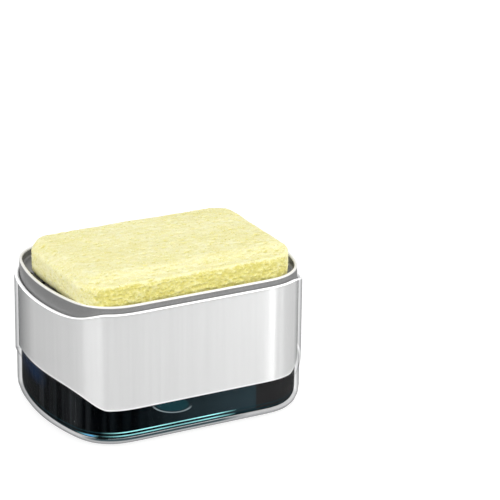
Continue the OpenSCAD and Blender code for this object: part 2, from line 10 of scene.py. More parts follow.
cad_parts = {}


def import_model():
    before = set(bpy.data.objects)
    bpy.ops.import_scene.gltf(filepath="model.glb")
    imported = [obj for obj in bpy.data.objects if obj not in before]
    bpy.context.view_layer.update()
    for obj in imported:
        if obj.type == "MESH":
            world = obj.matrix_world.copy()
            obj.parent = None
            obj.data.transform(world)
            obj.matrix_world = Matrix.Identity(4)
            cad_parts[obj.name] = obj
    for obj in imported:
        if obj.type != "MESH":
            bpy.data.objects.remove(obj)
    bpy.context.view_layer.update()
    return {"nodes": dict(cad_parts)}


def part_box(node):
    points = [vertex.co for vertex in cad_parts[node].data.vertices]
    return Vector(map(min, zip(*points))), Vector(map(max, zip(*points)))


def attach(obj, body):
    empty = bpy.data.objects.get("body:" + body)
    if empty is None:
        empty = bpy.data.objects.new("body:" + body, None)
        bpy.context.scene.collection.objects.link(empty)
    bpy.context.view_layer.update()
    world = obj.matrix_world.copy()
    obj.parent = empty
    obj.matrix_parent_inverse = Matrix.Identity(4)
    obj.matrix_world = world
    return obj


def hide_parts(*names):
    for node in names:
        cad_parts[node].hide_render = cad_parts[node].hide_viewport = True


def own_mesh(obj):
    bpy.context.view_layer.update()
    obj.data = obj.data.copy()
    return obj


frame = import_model()

MM = 0.001

# Camera, fitted to the photograph: its frame is 500 pixels a side, and the pixel ORIGIN_PX
# shows the origin, on the floor under the caddy's middle
PHOTO_SIDE_PX = 500
FOCAL_PX = 2782.6
ORIGIN_PX = (157.9, 396.3)
CAMERA_AZIMUTH_DEG = -26.66
CAMERA_ELEVATION_DEG = 23.75
CAMERA_DISTANCE = 1.4459
SENSOR_WIDTH_MM = 36.0

# Plan of the body: straight long sides, round corners and bowed short sides
shell_low, shell_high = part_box("outer_shell")
BODY_W = shell_high.x - shell_low.x
BODY_D = shell_high.y - shell_low.y
BODY_H = shell_high.z
CORNER_R = 27 * MM
BOW_R = 120 * MM
CORNER_Y = BODY_D / 2 - CORNER_R
BOW_ANGLE = math.asin(CORNER_Y / (BOW_R - CORNER_R))
BOW_X = BODY_W / 2 - BOW_R
CORNER_X = BOW_X + (BOW_R - CORNER_R) * math.cos(BOW_ANGLE)

# Innermost ring of a floor: within the corner arcs, so that it doesn't fold over itself
FLOOR_INSET = 0.55 * CORNER_R

# Sculpted edges: the shell's top dips and the band's lower edge rises at the short sides
WAVE_START_SHARE = 0.74
END_DIP = 5.2 * MM
END_RISE = 9.5 * MM

# Steps of the plan's arcs and sides, points of the whole plan, and how far its curvature is
# eased: points each way, and standard deviations at the last of them
CORNER_STEPS = 40
BOW_STEPS = 40
SIDE_STEPS = 40
PLAN_POINTS = 280
EASE_REACH = 7
EASE_DEVIATIONS = 2.5

# A rounded edge in a profile: its steps, and the most of a side that it takes up
EDGE_STEPS = 5
EDGE_SHARE = 0.49

# Strip beside a rounded edge that keeps the flat next to it flat in shading: its width, and the
# most of the flat that it takes up
HOLD = 0.35 * MM
HOLD_SHARE = 0.25
SMOOTH_ANGLE_DEG = 32

# Steps of a turned solid, and of the round end of a bar
TURNED_STEPS = 32
BAR_END_STEPS = 8


# Shapes


def ease(u):
    """Smooth step from 0 to 1."""
    u = np.clip(u, 0, 1)
    return u * u * (3 - 2 * u)


def wave(x):
    """Share of the sculpted rise or dip that is reached at distance x from the middle."""
    half = BODY_W / 2
    return ease((np.abs(x) / half - WAVE_START_SHARE) / (1 - WAVE_START_SHARE))


def arc(centre, radius, start, end, steps):
    """Points of an arc, without its last one."""
    angles = start + (end - start) * np.arange(steps) / steps
    return np.c_[centre[0] + radius * np.cos(angles), centre[1] + radius * np.sin(angles)]


def plan_of_arcs():
    """Points of the body's plan, counter-clockwise from the right side's front."""
    quarter = math.pi / 2
    half = np.concatenate([
        arc((BOW_X, 0), BOW_R, -BOW_ANGLE, BOW_ANGLE, BOW_STEPS),
        arc((CORNER_X, CORNER_Y), CORNER_R, BOW_ANGLE, quarter, CORNER_STEPS),
        np.c_[
            np.linspace(CORNER_X, -CORNER_X, SIDE_STEPS + 1)[:-1],
            np.full(SIDE_STEPS, BODY_D / 2),
        ],
        arc((-CORNER_X, CORNER_Y), CORNER_R, quarter, 2 * quarter - BOW_ANGLE, CORNER_STEPS),
    ])
    return np.concatenate([half, -half])


def smooth_plan():
    """The plan at even steps, with its curvature eased where arcs meet, and its outward normals."""
    points = plan_of_arcs()
    ring = np.concatenate([points, points[:1]])
    along = np.concatenate([[0], np.cumsum(np.linalg.norm(np.diff(ring, axis=0), axis=1))])
    even = np.linspace(0, along[-1], PLAN_POINTS + 1)[:-1]
    points = np.c_[np.interp(even, along, ring[:, 0]), np.interp(even, along, ring[:, 1])]
    eased, total = np.zeros_like(points), 0
    for shift in range(-EASE_REACH, EASE_REACH + 1):
        weight = math.exp(-0.5 * (EASE_DEVIATIONS * shift / EASE_REACH) ** 2)
        eased += weight * np.roll(points, shift, axis=0)
        total += weight
    eased /= total
    eased *= np.abs(points).max(0) / np.abs(eased).max(0)
    ahead = np.roll(eased, -1, axis=0) - np.roll(eased, 1, axis=0)
    normals = np.c_[ahead[:, 1], -ahead[:, 0]]
    return eased, normals / np.linalg.norm(normals, axis=1)[:, None]


PLAN, PLAN_NORMALS = smooth_plan()


def outline(inset):
    """Points of the body's plan, drawn in by inset."""
    return PLAN - inset * PLAN_NORMALS


def corner_arc(last, point, following, radius):
    """Points of the arc that rounds one corner of a profile."""
    to_last, to_next = last - point, following - point
    last_len, next_len = np.linalg.norm(to_last[:2]), np.linalg.norm(to_next[:2])
    cosine = to_last[:2] @ to_next[:2] / (last_len * next_len)
    half_angle = math.acos(max(-1, min(1, cosine))) / 2
    reach = min(radius / math.tan(half_angle), EDGE_SHARE * last_len, EDGE_SHARE * next_len)
    first = point + to_last * reach / last_len
    final = point + to_next * reach / next_len
    weight = math.sin(half_angle)
    made = []
    for step in range(EDGE_STEPS + 1):
        t = step / EDGE_STEPS
        a, b, c = (1 - t) ** 2, 2 * weight * t * (1 - t), t**2
        made.append((a * first + b * point + c * final) / (a + b + c))
    return made


def round_corners(profile, closed):
    """Rounds each profile corner that has an edge radius, and holds the flats between the arcs.

    A profile point is (inset, height, rise at the short sides, edge radius)."""
    points = np.array([p[:3] for p in profile], float)
    count = len(points)
    arcs = []
    for i, point in enumerate(points):
        radius = profile[i][3]
        if radius == 0 or (not closed and i in (0, count - 1)):
            arcs.append([point])
        else:
            arcs.append(corner_arc(points[i - 1], point, points[(i + 1) % count], radius))
    made = []
    for i, part in enumerate(arcs):
        made += part
        if not closed and i == count - 1:
            break
        start, end = part[-1], arcs[(i + 1) % count][0]
        length = np.linalg.norm((end - start)[:2])
        hold = (end - start) * min(HOLD, HOLD_SHARE * length) / length
        made += [start + hold, end - hold]
    return np.array(made)


def shade(mesh):
    """Smooth faces, with sharp edges only where faces meet at a wide angle."""
    mesh.polygons.foreach_set("use_smooth", [True] * len(mesh.polygons))
    mesh.set_sharp_from_angle(angle=math.radians(SMOOTH_ANGLE_DEG))


def mesh_object(name, points, faces):
    """A new object with a shaded mesh."""
    mesh = bpy.data.meshes.new(name)
    mesh.from_pydata([tuple(p) for p in points], [], [tuple(f) for f in faces])
    mesh.validate()
    shade(mesh)
    piece = bpy.data.objects.new(name, mesh)
    bpy.context.scene.collection.objects.link(piece)
    return piece


def skin(rings, count, start=0, closed=False):
    """Faces through rings of count points each, with both end rings filled unless it is closed."""
    faces = []
    for i in range(rings if closed else rings - 1):
        a, b = start + i * count, start + (i + 1) % rings * count
        for j in range(count):
            n = (j + 1) % count
            faces.append((a + j, a + n, b + n, b + j))
    if not closed:
        end = start + rings * count
        faces.append(tuple(range(start, start + count))[::-1])
        faces.append(tuple(range(end - count, end)))
    return faces


def lofted(name, profile, closed=False):
    """A solid lofted round the body's plan through a profile.

    An open profile runs from under the floor up the outside and down the inside to the floor."""
    rings = round_corners(profile, closed)
    lift = wave(PLAN[:, 0])
    points = np.concatenate(
        [np.c_[outline(inset), height + rise * lift] for inset, height, rise in rings]
    )
    return mesh_object(name, points, skin(len(rings), PLAN_POINTS, closed=closed))


def turned(places, profile):
    """Points and faces of solids of revolution at places, through (radius, height) points."""
    angles = 2 * math.pi * np.arange(TURNED_STEPS) / TURNED_STEPS
    points, faces = [], []
    for x, y in places:
        faces += skin(len(profile), TURNED_STEPS, start=len(points))
        for radius, height in profile:
            points += [(x + radius * math.cos(a), y + radius * math.sin(a), height) for a in angles]
    return points, faces


def rounded_bar(low, high, edge):
    """Points and faces of an upright-sided bar with rounded ends and a softened top."""
    half_w = (high[0] - low[0]) / 2
    middle = (low[0] + high[0]) / 2
    bevel = 0.3 * edge
    levels = [(0, low[2]), (0, high[2] - edge), (bevel, high[2] - bevel), (edge, high[2])]
    angles = math.pi * np.arange(BAR_END_STEPS + 1) / BAR_END_STEPS
    points = []
    for inset, height in levels:
        radius = half_w - inset
        for side, y in ((1, high[1] - half_w), (-1, low[1] + half_w)):
            points += [
                (middle + side * radius * math.cos(a), y + side * radius * math.sin(a), height)
                for a in angles
            ]
    return points, skin(len(levels), 2 * len(angles))


def combined(piece, parts, operation, material):
    """Joins parts to a piece, or cuts them out of it, and shades it anew."""
    points, faces = [], []
    for part_points, part_faces in parts:
        faces += [tuple(k + len(points) for k in face) for face in part_faces]
        points += part_points
    tool = mesh_object("tool", points, faces)
    tool.data.materials.append(material)
    change = piece.modifiers.new("change", "BOOLEAN")
    change.operation = operation
    change.solver = "EXACT"
    change.material_mode = "TRANSFER"
    change.object = tool
    seen = piece.evaluated_get(bpy.context.evaluated_depsgraph_get())
    mesh = bpy.data.meshes.new_from_object(seen)
    piece.modifiers.clear()
    piece.data = mesh
    bpy.data.objects.remove(tool)
    shade(mesh)


# Materials. Their places are in the shared frame, because every object's origin is the frame's

# Range that most of a noise's values lie in, and the share of a soft line that is at full strength
NOISE_RANGE = (0.3, 0.7)
LINE_CORE = 0.3

# The clear shell's tints, the last a painted dark teal shade over its low fillet, and the shares of
# the view that it lets pass unbent
CLEAR_TINT = (0.975, 0.976, 0.976)
SLANT_TINT = (0.5, 0.505, 0.51)
LOW_EDGE_TINT = (0.7, 0.705, 0.71)
PAINTED_FILLET_SHADE = (0.1, 0.16, 0.18)
UNBENT_FACE_ON = 0.975
UNBENT_EDGE_ON = 0.4

# The pickup foot's image painted on the tub's front wall as a refraction, its rim a pale painted
# highlight: an ellipse that drops towards the right
FOOT_IMAGE_X = -16.8 * MM
FOOT_IMAGE_Z = 18.4 * MM
FOOT_IMAGE_HALF_W = 10.9 * MM
FOOT_IMAGE_HALF_H = 4.5 * MM
FOOT_IMAGE_SLOPE = 0.2

# The painted glowing highlight lines along the tub's low fillet: (height over its bottom, half
# width), and the strength of their painted glow
PAINTED_UPPER_LINE = (4.6 * MM, 0.4 * MM)
PAINTED_LOWER_LINE = (2.3 * MM, 0.9 * MM)
PAINTED_UPPER_LINE_SHARE = 0.85
PAINTED_LINE_GLOW = 0.8


class Shader:
    """A material with its principled shader and short ways to add nodes to it."""

    def __init__(self, name, colour, roughness, **settings):
        self.material = bpy.data.materials.new(name)
        self.material.use_nodes = True
        self.tree = self.material.node_tree
        self.main = self.tree.nodes["Principled BSDF"]
        self.main.inputs["Base Color"].default_value = (*colour, 1)
        self.main.inputs["Roughness"].default_value = roughness
        for key, value in settings.items():
            self.main.inputs[key.replace("_", " ")].default_value = value
        self.place = self.node("ShaderNodeTexCoord").outputs["Object"]

    def node(self, kind, **settings):
        made = self.tree.nodes.new(kind)
        for key, value in settings.items():
            setattr(made, key, value)
        return made

    def link(self, output, socket):
        self.tree.links.new(output, socket)

    def axis(self, name):
        """One coordinate of the surface point in the object's own space."""
        split = self.node("ShaderNodeSeparateXYZ")
        self.link(self.place, split.inputs[0])
        return split.outputs[name]

    def noise(self, scale, detail, stretch=(1, 1, 1)):
        """A noise value in the object's own space, stretched along its axes."""
        mapping = self.node("ShaderNodeMapping")
        mapping.inputs["Scale"].default_value = stretch
        texture = self.node("ShaderNodeTexNoise")
        texture.inputs["Scale"].default_value = scale
        texture.inputs["Detail"].default_value = detail
        self.link(self.place, mapping.inputs["Vector"])
        self.link(mapping.outputs[0], texture.inputs["Vector"])
        return texture.outputs[0]

    def cells(self, scale):
        """Distance to the nearest of scattered points."""
        texture = self.node("ShaderNodeTexVoronoi")
        texture.inputs["Scale"].default_value = scale
        self.link(self.place, texture.inputs["Vector"])
        return texture.outputs["Distance"]

    def math(self, operation, a, b):
        made = self.node("ShaderNodeMath", operation=operation)
        for socket, value in zip(made.inputs, (a, b)):
            if isinstance(value, (int, float)):
                socket.default_value = value
            else:
                self.link(value, socket)
        return made.outputs[0]

    def times(self, a, b):
        return self.math("MULTIPLY", a, b)

    def ramp(self, value, low, high, out_low=0.0, out_high=1.0):
        """Maps value from low..high to out_low..out_high, clamped."""
        mapped = self.node("ShaderNodeMapRange", clamp=True)
        for key, number in (
            ("From Min", low), ("From Max", high), ("To Min", out_low), ("To Max", out_high)
        ):
            mapped.inputs[key].default_value = number
        self.link(value, mapped.inputs["Value"])
        return mapped.outputs["Result"]

    def mottle(self, scale, detail, low=0.0, high=1.0, stretch=(1, 1, 1)):
        """A noise value, spread over low..high."""
        return self.ramp(self.noise(scale, detail, stretch), *NOISE_RANGE, low, high)

    def line(self, value, middle, half_width):
        """A soft line: 1 where value is at the middle, 0 past half_width from it."""
        away = self.math("ABSOLUTE", self.math("SUBTRACT", value, middle), 0.0)
        return self.ramp(away, LINE_CORE * half_width, half_width, 1.0, 0.0)

    def mix(self, share, first, second):
        """Mixes two colours or colour outputs by share."""
        made = self.node("ShaderNodeMix", data_type="RGBA")
        self.link(share, made.inputs["Factor"])
        for key, value in (("A", first), ("B", second)):
            socket = [s for s in made.inputs if s.name == key and s.type == "RGBA"][0]
            if isinstance(value, tuple):
                socket.default_value = (*value, 1)
            else:
                self.link(value, socket)
        return [s for s in made.outputs if s.type == "RGBA"][0]

    def colour(self, output):
        self.link(output, self.main.inputs["Base Color"])

    def roughness(self, output):
        self.link(output, self.main.inputs["Roughness"])

    def bump(self, height, strength, distance):
        """Adds a bump on top of the bumps before it."""
        made = self.node("ShaderNodeBump")
        made.inputs["Strength"].default_value = strength
        made.inputs["Distance"].default_value = distance
        self.link(height, made.inputs["Height"])
        before = self.main.inputs["Normal"].links
        if before:
            self.link(before[0].from_socket, made.inputs["Normal"])
        self.link(made.outputs[0], self.main.inputs["Normal"])


def clear_tint(shader, slant):
    """Tint of the clear wall: greyer at its thick low edge and where it is seen at a slant.

    Over the low edge, its front is tinted dark teal: painted shade that stands for the tub seen
    there through its fillet."""
    z = shader.axis("Z")
    tint = shader.mix(shader.ramp(z, 5 * MM, 3.8 * MM), CLEAR_TINT, LOW_EDGE_TINT)
    # Painted shade: a dark teal strip over the low edge at the front
    strip = shader.times(shader.ramp(z, 4.1 * MM, 4.6 * MM), shader.ramp(z, 6.1 * MM, 5.7 * MM))
    front = shader.times(
        shader.ramp(shader.axis("Y"), -37 * MM, -44 * MM),
        shader.ramp(shader.axis("X"), 26 * MM, 10 * MM),
    )
    tint = shader.mix(shader.times(strip, front), tint, PAINTED_FILLET_SHADE)
    return shader.mix(shader.ramp(slant, 0.64, 0.92), tint, SLANT_TINT)


def clear_plastic():
    """Clear acrylic that lets lamps light what is inside, and bends less of the view face on."""
    shader = Shader("clear_acrylic", (0.97, 0.98, 0.982), 0.015, Transmission_Weight=1.0, IOR=1.3)
    shader.roughness(shader.ramp(shader.noise(60, 4), 0.45, 0.75, 0.0, 0.02))
    slant = shader.node("ShaderNodeLayerWeight").outputs["Facing"]
    clear = shader.node("ShaderNodeBsdfTransparent")
    shader.link(clear_tint(shader, slant), clear.inputs["Color"])
    path = shader.node("ShaderNodeLightPath").outputs
    lamplight = shader.math("MAXIMUM", path["Is Shadow Ray"], path["Is Diffuse Ray"])
    unbent = shader.ramp(slant, 0.86, 0.99, UNBENT_FACE_ON, UNBENT_EDGE_ON)
    mixed = shader.node("ShaderNodeMixShader")
    shader.link(shader.math("MAXIMUM", lamplight, unbent), mixed.inputs[0])
    shader.link(shader.main.outputs[0], mixed.inputs[1])
    shader.link(clear.outputs[0], mixed.inputs[2])
    shader.link(mixed.outputs[0], shader.tree.nodes["Material Output"].inputs["Surface"])
    return shader.material


def painted_highlight_edge(name, painted_glow):
    """A painted highlight: a near-white edge that glows a little, though no lamp is there."""
    shader = Shader(name, (0.95, 0.95, 0.95), 0.18)
    shader.colour(shader.mix(shader.mottle(150, 3), (0.93, 0.93, 0.93), (0.98, 0.98, 0.98)))
    shader.roughness(shader.mottle(300, 3, 0.12, 0.26))
    # Painted highlight: a white glow, though no lamp is there
    shader.main.inputs["Emission Color"].default_value = (1, 1, 1, 1)
    shader.main.inputs["Emission Strength"].default_value = painted_glow
    return shader.material


def satin_silver():
    """Satin silver with faint upright strokes, which spread highlights up and down."""
    shader = Shader("satin_silver", (0.8, 0.8, 0.8), 0.35, Metallic=0.3, Anisotropic=1.0)
    upright = shader.node("ShaderNodeCombineXYZ")
    upright.inputs["Z"].default_value = 1.0
    shader.link(upright.outputs[0], shader.main.inputs["Tangent"])
    strokes = shader.noise(60, 5, stretch=(8, 8, 0.2))
    share = shader.ramp(strokes, *NOISE_RANGE)
    shader.colour(shader.mix(share, (0.79, 0.789, 0.787), (0.825, 0.824, 0.822)))
    shader.roughness(shader.mottle(70, 4, 0.33, 0.37, stretch=(6, 6, 0.4)))
    shader.bump(strokes, 0.012, 0.2 * MM)
    return shader.material


def painted_foot_image(shader, x, z):
    """The pickup foot's rim and inside, painted on the front wall as a refraction image, the rim as
    a pale painted highlight.

    Only the lower half of the rim is seen."""
    side = shader.math("SUBTRACT", x, FOOT_IMAGE_X)
    level = shader.math("SUBTRACT", z, FOOT_IMAGE_Z)
    tilted = shader.math("ADD", level, shader.times(side, FOOT_IMAGE_SLOPE))
    across = shader.math("DIVIDE", side, FOOT_IMAGE_HALF_W)
    up = shader.math("DIVIDE", tilted, FOOT_IMAGE_HALF_H)
    squares = shader.math("ADD", shader.times(across, across), shader.times(up, up))
    below = shader.ramp(up, -0.1, -0.55)
    rim = shader.times(shader.line(squares, 1.0, 0.17), below)
    return rim, shader.ramp(squares, 0.86, 0.6)


def tub_shades(shader, x, y, height):
    """The tub's near-black: greyer to the left, teal towards the right and plain past that, with
    a painted blue gleam far left and high."""
    streaks = shader.ramp(shader.noise(42, 4, stretch=(4, 4, 0.12)), 0.5, 0.75)
    left = shader.ramp(x, -62 * MM, -45 * MM)
    pale = shader.mix(left, (0.024, 0.027, 0.03), (0.007, 0.012, 0.015))
    dark = shader.mix(streaks, (0.001, 0.0015, 0.002), pale)
    dark = shader.mix(shader.ramp(x, -38 * MM, 27 * MM), dark, (0.026, 0.043, 0.052))
    dark = shader.mix(shader.ramp(x, 30.5 * MM, 31.5 * MM), dark, (0.024, 0.024, 0.025))
    # Painted reflection: a blue gleam far left and high on the tub
    gleam = shader.times(
        shader.ramp(y, -9 * MM, 6 * MM), shader.ramp(height, 14 * MM, 21 * MM, 0.0, 0.7)
    )
    gleam = shader.times(gleam, shader.ramp(x, -58 * MM, -64 * MM))
    return shader.mix(gleam, dark, (0.004, 0.022, 0.07))


def smoked_plastic(low_z):
    """Near-black smoked plastic with upright streaks, and painted glowing teal highlight lines
    along its low fillet.
    """
    shader = Shader("smoked_tub", (0.004, 0.008, 0.01), 0.06, Specular_IOR_Level=0.008)
    x, y, z = (shader.axis(name) for name in "XYZ")
    height = shader.math("SUBTRACT", z, low_z)
    front = shader.ramp(y, -30 * MM, -40 * MM)
    dark = tub_shades(shader, x, y, height)
    # Painted refraction image of the pickup foot: teal inside, pale painted highlight on its rim
    rim, inside = painted_foot_image(shader, x, z)
    dark = shader.mix(shader.times(front, inside), dark, (0.012, 0.045, 0.055))
    dark = shader.mix(shader.times(front, rim), dark, (0.26, 0.32, 0.34))
    # Painted glowing highlight lines along the low fillet, teal and glowing where the front reaches
    # them
    upper = shader.times(shader.line(height, *PAINTED_UPPER_LINE), PAINTED_UPPER_LINE_SHARE)
    lower = shader.line(height, *PAINTED_LOWER_LINE)
    painted_light_lines = shader.math("MAXIMUM", upper, lower)
    reach = shader.times(
        shader.ramp(x, -54 * MM, -43 * MM), shader.ramp(x, 8 * MM, 20 * MM, 1.0, 0.0)
    )
    uneven = shader.ramp(shader.noise(26, 2), 0.3, 0.5, 0.6, 1.0)
    near = shader.times(shader.times(reach, front), uneven)
    lit = shader.mix(near, (0.01, 0.035, 0.045), (0.35, 0.88, 0.9))
    shader.colour(shader.mix(painted_light_lines, dark, lit))
    # A painted blue glint on the lower line, far left
    painted_blue_glint = shader.times(shader.line(x, -58 * MM, 4 * MM), shader.times(front, lower))
    painted_glow = shader.mix(painted_blue_glint, (0.45, 1.0, 1.0), (0.12, 0.5, 1.0))
    strength = shader.math("MAXIMUM", shader.times(painted_light_lines, near), painted_blue_glint)
    shader.link(painted_glow, shader.main.inputs["Emission Color"])
    shader.link(shader.times(strength, PAINTED_LINE_GLOW), shader.main.inputs["Emission Strength"])
    shader.roughness(shader.mottle(80, 3, 0.03, 0.09))
    return shader.material


def tray_plastic(rim_z):
    """Grey plastic with fine metallic flakes, and a pale ivory top to its rim that is also a
    painted highlight of its rounded edge.
    """
    shader = Shader("metallic_grey", (0.19, 0.19, 0.195), 0.36, Metallic=0.35)
    flakes = shader.ramp(shader.noise(2600, 2), 0.4, 0.7)
    grey = shader.mix(flakes, (0.225, 0.225, 0.225), (0.28, 0.28, 0.278))
    # Painted highlight: the rim's top band is pale ivory white
    painted_rim_highlight = shader.ramp(shader.axis("Z"), rim_z - 1.1 * MM, rim_z - 0.7 * MM)
    shader.colour(shader.mix(painted_rim_highlight, grey, (0.93, 0.92, 0.88)))
    shader.roughness(shader.mottle(140, 4, 0.28, 0.42))
    shader.bump(shader.noise(1800, 2), 0.08, 0.15 * MM)
    return shader.material


def sponge_cellulose():
    """Pale skin on top and at the ends, and a deeper, more open yellow on the cut long sides."""
    shader = Shader("cellulose", (0.86, 0.81, 0.4), 0.92, Specular_IOR_Level=0.2)
    pit = shader.node("ShaderNodeAttribute", attribute_name="pit").outputs["Fac"]
    cut = shader.node("ShaderNodeAttribute", attribute_name="cut").outputs["Fac"]
    mottle = shader.ramp(shader.noise(330, 5, stretch=(0.7, 1, 1)), 0.4, 0.62)
    broad = shader.ramp(shader.noise(70, 3, stretch=(0.6, 1, 1)), 0.42, 0.66, 0.0, 0.5)
    fine = shader.ramp(shader.noise(1400, 2), 0.52, 0.64, 0.0, 0.75)
    colour = shader.mix(cut, (0.8, 0.75, 0.36), (0.73, 0.68, 0.25))
    for share, on_skin, on_cut in (
        (mottle, (0.86, 0.825, 0.5), (0.8, 0.765, 0.39)),
        (broad, (0.76, 0.7, 0.27), (0.68, 0.62, 0.165)),
        (fine, (0.9, 0.88, 0.6), (0.92, 0.88, 0.42)),
    ):
        colour = shader.mix(share, colour, shader.mix(cut, on_skin, on_cut))
    pores = shader.ramp(shader.cells(1100), 0.1, 0.34, 1.0, 0.0)
    gate = shader.ramp(shader.noise(420, 3), 0.46, 0.62, 0.0, 0.8)
    specks = shader.ramp(shader.cells(480), 0.14, 0.3, 1.0, 0.0)
    few = shader.ramp(shader.noise(240, 2), 0.5, 0.6, 0.0, 0.6)
    # Darker pores and pits are painted shade in the hollows; the few dark specks are random tone
    for share, deep in (
        (shader.times(pores, gate), (0.58, 0.52, 0.12)),
        (shader.times(specks, few), (0.5, 0.44, 0.08)),
        (shader.ramp(pit, 0.2, 1.0, 0.0, 0.75), (0.6, 0.53, 0.12)),
    ):
        colour = shader.mix(share, colour, deep)
    shader.colour(colour)
    shader.main.inputs["Subsurface Weight"].default_value = 0.15
    shader.main.inputs["Subsurface Radius"].default_value = (2.5 * MM, 2 * MM, 0.8 * MM)
    shader.main.inputs["Subsurface Scale"].default_value = 1.0
    shader.bump(pores, -0.3, 0.3 * MM)
    shader.bump(shader.noise(1300, 4, stretch=(0.5, 1, 1)), 0.5, 0.3 * MM)
    return shader.material


def moulded(name, colour, roughness, metallic=0.0, grain=900, strength=0.06):
    """Moulded or turned material with a fine grain and slightly uneven gloss."""
    shader = Shader(name, colour, roughness, Metallic=metallic)
    pale = tuple(min(1, 1.12 * c + 0.004) for c in colour)
    dull = tuple(0.9 * c for c in colour)
    shader.colour(shader.mix(shader.mottle(60, 4), dull, pale))
    shader.roughness(shader.mottle(110, 4, 0.85 * roughness, min(1, 1.15 * roughness)))
    shader.bump(shader.noise(grain, 2), strength, 0.1 * MM)
    return shader.material


# Pieces

# The silver band, and the strips of painted glowing highlight at its low edge and at the shell's
# top edge
BAND_OUT = 1.9 * MM
BAND_IN = 2.3 * MM
BAND_LOW = 20.5 * MM
BAND_TOP = BODY_H - 0.8 * MM
BAND_HIGHLIGHT_STRIP = 0.8 * MM
BAND_HIGHLIGHT_GLOW = 0.1
SHELL_HIGHLIGHT_STRIP = 0.45 * MM
SHELL_HIGHLIGHT_GLOW = 0.25


def clear_shell():
    """The clear outer tub: rounded floor, step, thick lip under the band, sculpted top edge."""
    low_z = shell_low.z
    wall, base_wall, step = 1.8 * MM, 2.2 * MM, 0.8 * MM
    lip_low = BAND_LOW - 1.5 * MM
    floor_top = low_z + 2.5 * MM
    base_in = step + base_wall
    piece = lofted("clear_shell_moulding", [
        (FLOOR_INSET, low_z, 0, 0),
        (step, low_z, 0, 7 * MM),
        (step, lip_low, END_RISE, 0.35 * MM),
        (0, lip_low, END_RISE, 0.5 * MM),
        (0, BODY_H, -END_DIP, 0.7 * MM),
        (wall, BODY_H, -END_DIP, 0.5 * MM),
        (wall, BAND_LOW, END_RISE, 0.1 * MM),
        (base_in, BAND_LOW, END_RISE, 0.3 * MM),
        (base_in, floor_top, 0, 4.8 * MM),
        (FLOOR_INSET, floor_top, 0, 0),
    ])
    piece.data.materials.append(clear_plastic())
    # The second material is a painted glowing highlight along the shell's top edge
    piece.data.materials.append(painted_highlight_edge("painted_highlight_edge", SHELL_HIGHLIGHT_GLOW))
    paint_top_edge_highlight(piece.data)
    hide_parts("outer_shell")
    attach(piece, "base")


def paint_top_edge_highlight(mesh):
    """Gives the faces along the sculpted top edge the second material, a painted glowing highlight.
    """
    for face in mesh.polygons:
        top = BODY_H - END_DIP * wave(face.center.x)
        if face.center.z > top - SHELL_HIGHLIGHT_STRIP and face.center.z > BAND_LOW + END_RISE:
            face.material_index = 1


def silver_sleeve():
    """The satin silver band inside the shell, with a painted glowing highlight along its low edge.
    """
    profile = [
        (BAND_OUT, BAND_LOW, END_RISE, 0.12 * MM),
        (BAND_OUT, BAND_LOW + BAND_HIGHLIGHT_STRIP, END_RISE, 0),
        (BAND_OUT, BAND_TOP, -END_DIP, 0.15 * MM),
        (BAND_IN, BAND_TOP, -END_DIP, 0.15 * MM),
        (BAND_IN, BAND_LOW, END_RISE, 0.12 * MM),
    ]
    piece = lofted("silver_sleeve", profile, closed=True)
    piece.data.materials.append(satin_silver())
    # The second material paints a glowing highlight along the band's low edge
    piece.data.materials.append(painted_highlight_edge("band_edge_painted_highlight", BAND_HIGHLIGHT_GLOW))
    rings = round_corners(profile, closed=True)
    for i, (ring, following) in enumerate(zip(rings, np.roll(rings, -1, axis=0))):
        if max(ring[1], following[1]) < BAND_LOW + BAND_HIGHLIGHT_STRIP + HOLD / 2:
            for face in piece.data.polygons[i * PLAN_POINTS:(i + 1) * PLAN_POINTS]:
                face.material_index = 1
    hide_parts("silver_band")
    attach(piece, "base")


def smoked_tub():
    """The dark reservoir inside the shell, with a lip at its mouth."""
    low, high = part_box("soap_reservoir")
    tub_out, wall, floor_t, lip_h = 3.3 * MM, 1.6 * MM, 1.6 * MM, 2.5 * MM
    tub_in = tub_out + wall
    lip_out = BAND_IN + 0.3 * MM
    piece = lofted("smoked_tub", [
        (FLOOR_INSET, low.z, 0, 0),
        (tub_out, low.z, 0, 4.5 * MM),
        (tub_out, high.z - lip_h, 0, 0.2 * MM),
        (lip_out, high.z - lip_h, 0, 0.3 * MM),
        (lip_out, high.z, 0, 0.3 * MM),
        (tub_in, high.z, 0, 0.3 * MM),
        (tub_in, low.z + floor_t, 0, 2.9 * MM),
        (FLOOR_INSET, low.z + floor_t, 0, 0),
    ])
    piece.data.materials.append(smoked_plastic(low.z))
    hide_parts("soap_reservoir")
    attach(piece, "base")


# The tray, with its ribs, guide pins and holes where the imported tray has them
TRAY_DEPTH = 4.5 * MM
TRAY_FLOOR_T = 2 * MM
SKIRT_OUT = BAND_IN + 0.4 * MM
SKIRT_T = 1.5 * MM
SKIRT_H = 12.7 * MM
RIB_X = [18 * MM + 11 * MM * k for k in range(4)]
RIB_W = 2 * MM
RIB_H = 2 * MM
RIB_LENGTH = 58.8 * MM
RIB_EDGE = 0.4 * MM
PIN_X, PIN_Y, PIN_R = 42 * MM, 29.4 * MM, 3 * MM
PIN_CHAMFER = 0.5 * MM
CENTRE_R = 5.05 * MM
DRAIN_R = 1.8 * MM
DRAIN_PLACES = [
    *((side * 61.6 * MM, k * 7.5 * MM) for side in (-1, 1) for k in (-3, -1, 1, 3)),
    *((k * 26 * MM, side * 44.1 * MM) for side in (-1, 1) for k in (-1, 0, 1)),
]


